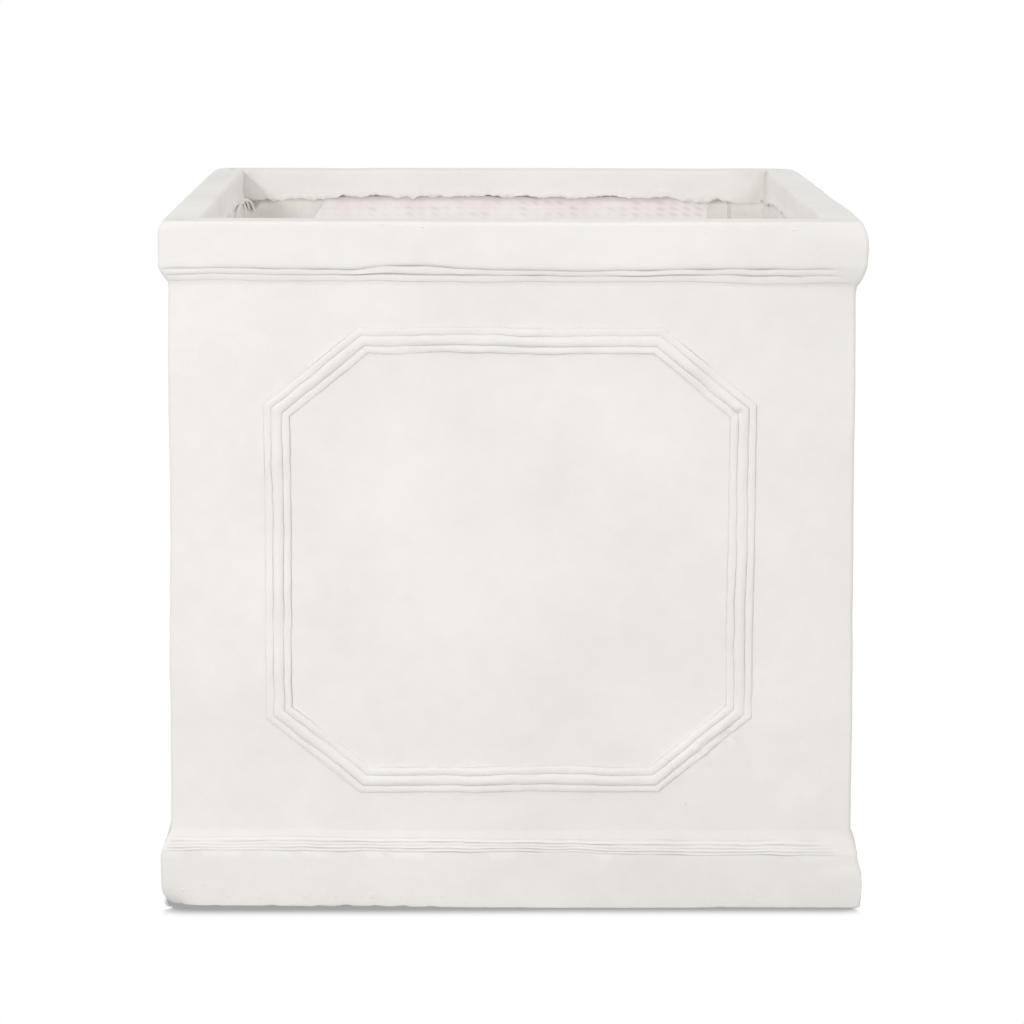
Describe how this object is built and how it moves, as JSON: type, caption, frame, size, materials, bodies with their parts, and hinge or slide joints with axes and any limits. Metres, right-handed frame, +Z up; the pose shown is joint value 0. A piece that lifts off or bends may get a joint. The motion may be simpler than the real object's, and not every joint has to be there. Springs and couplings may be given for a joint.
{
  "type": "square planter box",
  "caption": "Square cast planter box with a plain rim and plinth, scribed mouldings, an octagonal raised frame on each face, a mesh-backed inside and a drained floor.",
  "frame": {"origin": "middle of the underside, on the ground", "axes": "+Z up, front face towards -Y, right-hand face towards +X; all four faces are alike"},
  "size_m": [0.416, 0.416, 0.408],
  "materials": {
    "cast_cement": "limewashed, matt",
    "glass_mesh": "cement-soaked weave",
    "mortar": "trowelled, matt"
  },
  "bodies": {
    "root": {"wall_front": "cast_cement", "wall_right": "cast_cement", "wall_back": "cast_cement", "wall_left": "cast_cement", "floor_slab": "cast_cement", "mesh_front": "glass_mesh", "mesh_right": "glass_mesh", "mesh_back": "glass_mesh", "mesh_left": "glass_mesh", "floor_mesh": "glass_mesh", "corner_fillet_front_right": "mortar", "corner_fillet_back_right": "mortar", "corner_fillet_back_left": "mortar", "corner_fillet_front_left": "mortar", "floor_cove_front": "mortar", "floor_cove_right": "mortar", "floor_cove_back": "mortar", "floor_cove_left": "mortar"}
  },
  "joints": []
}
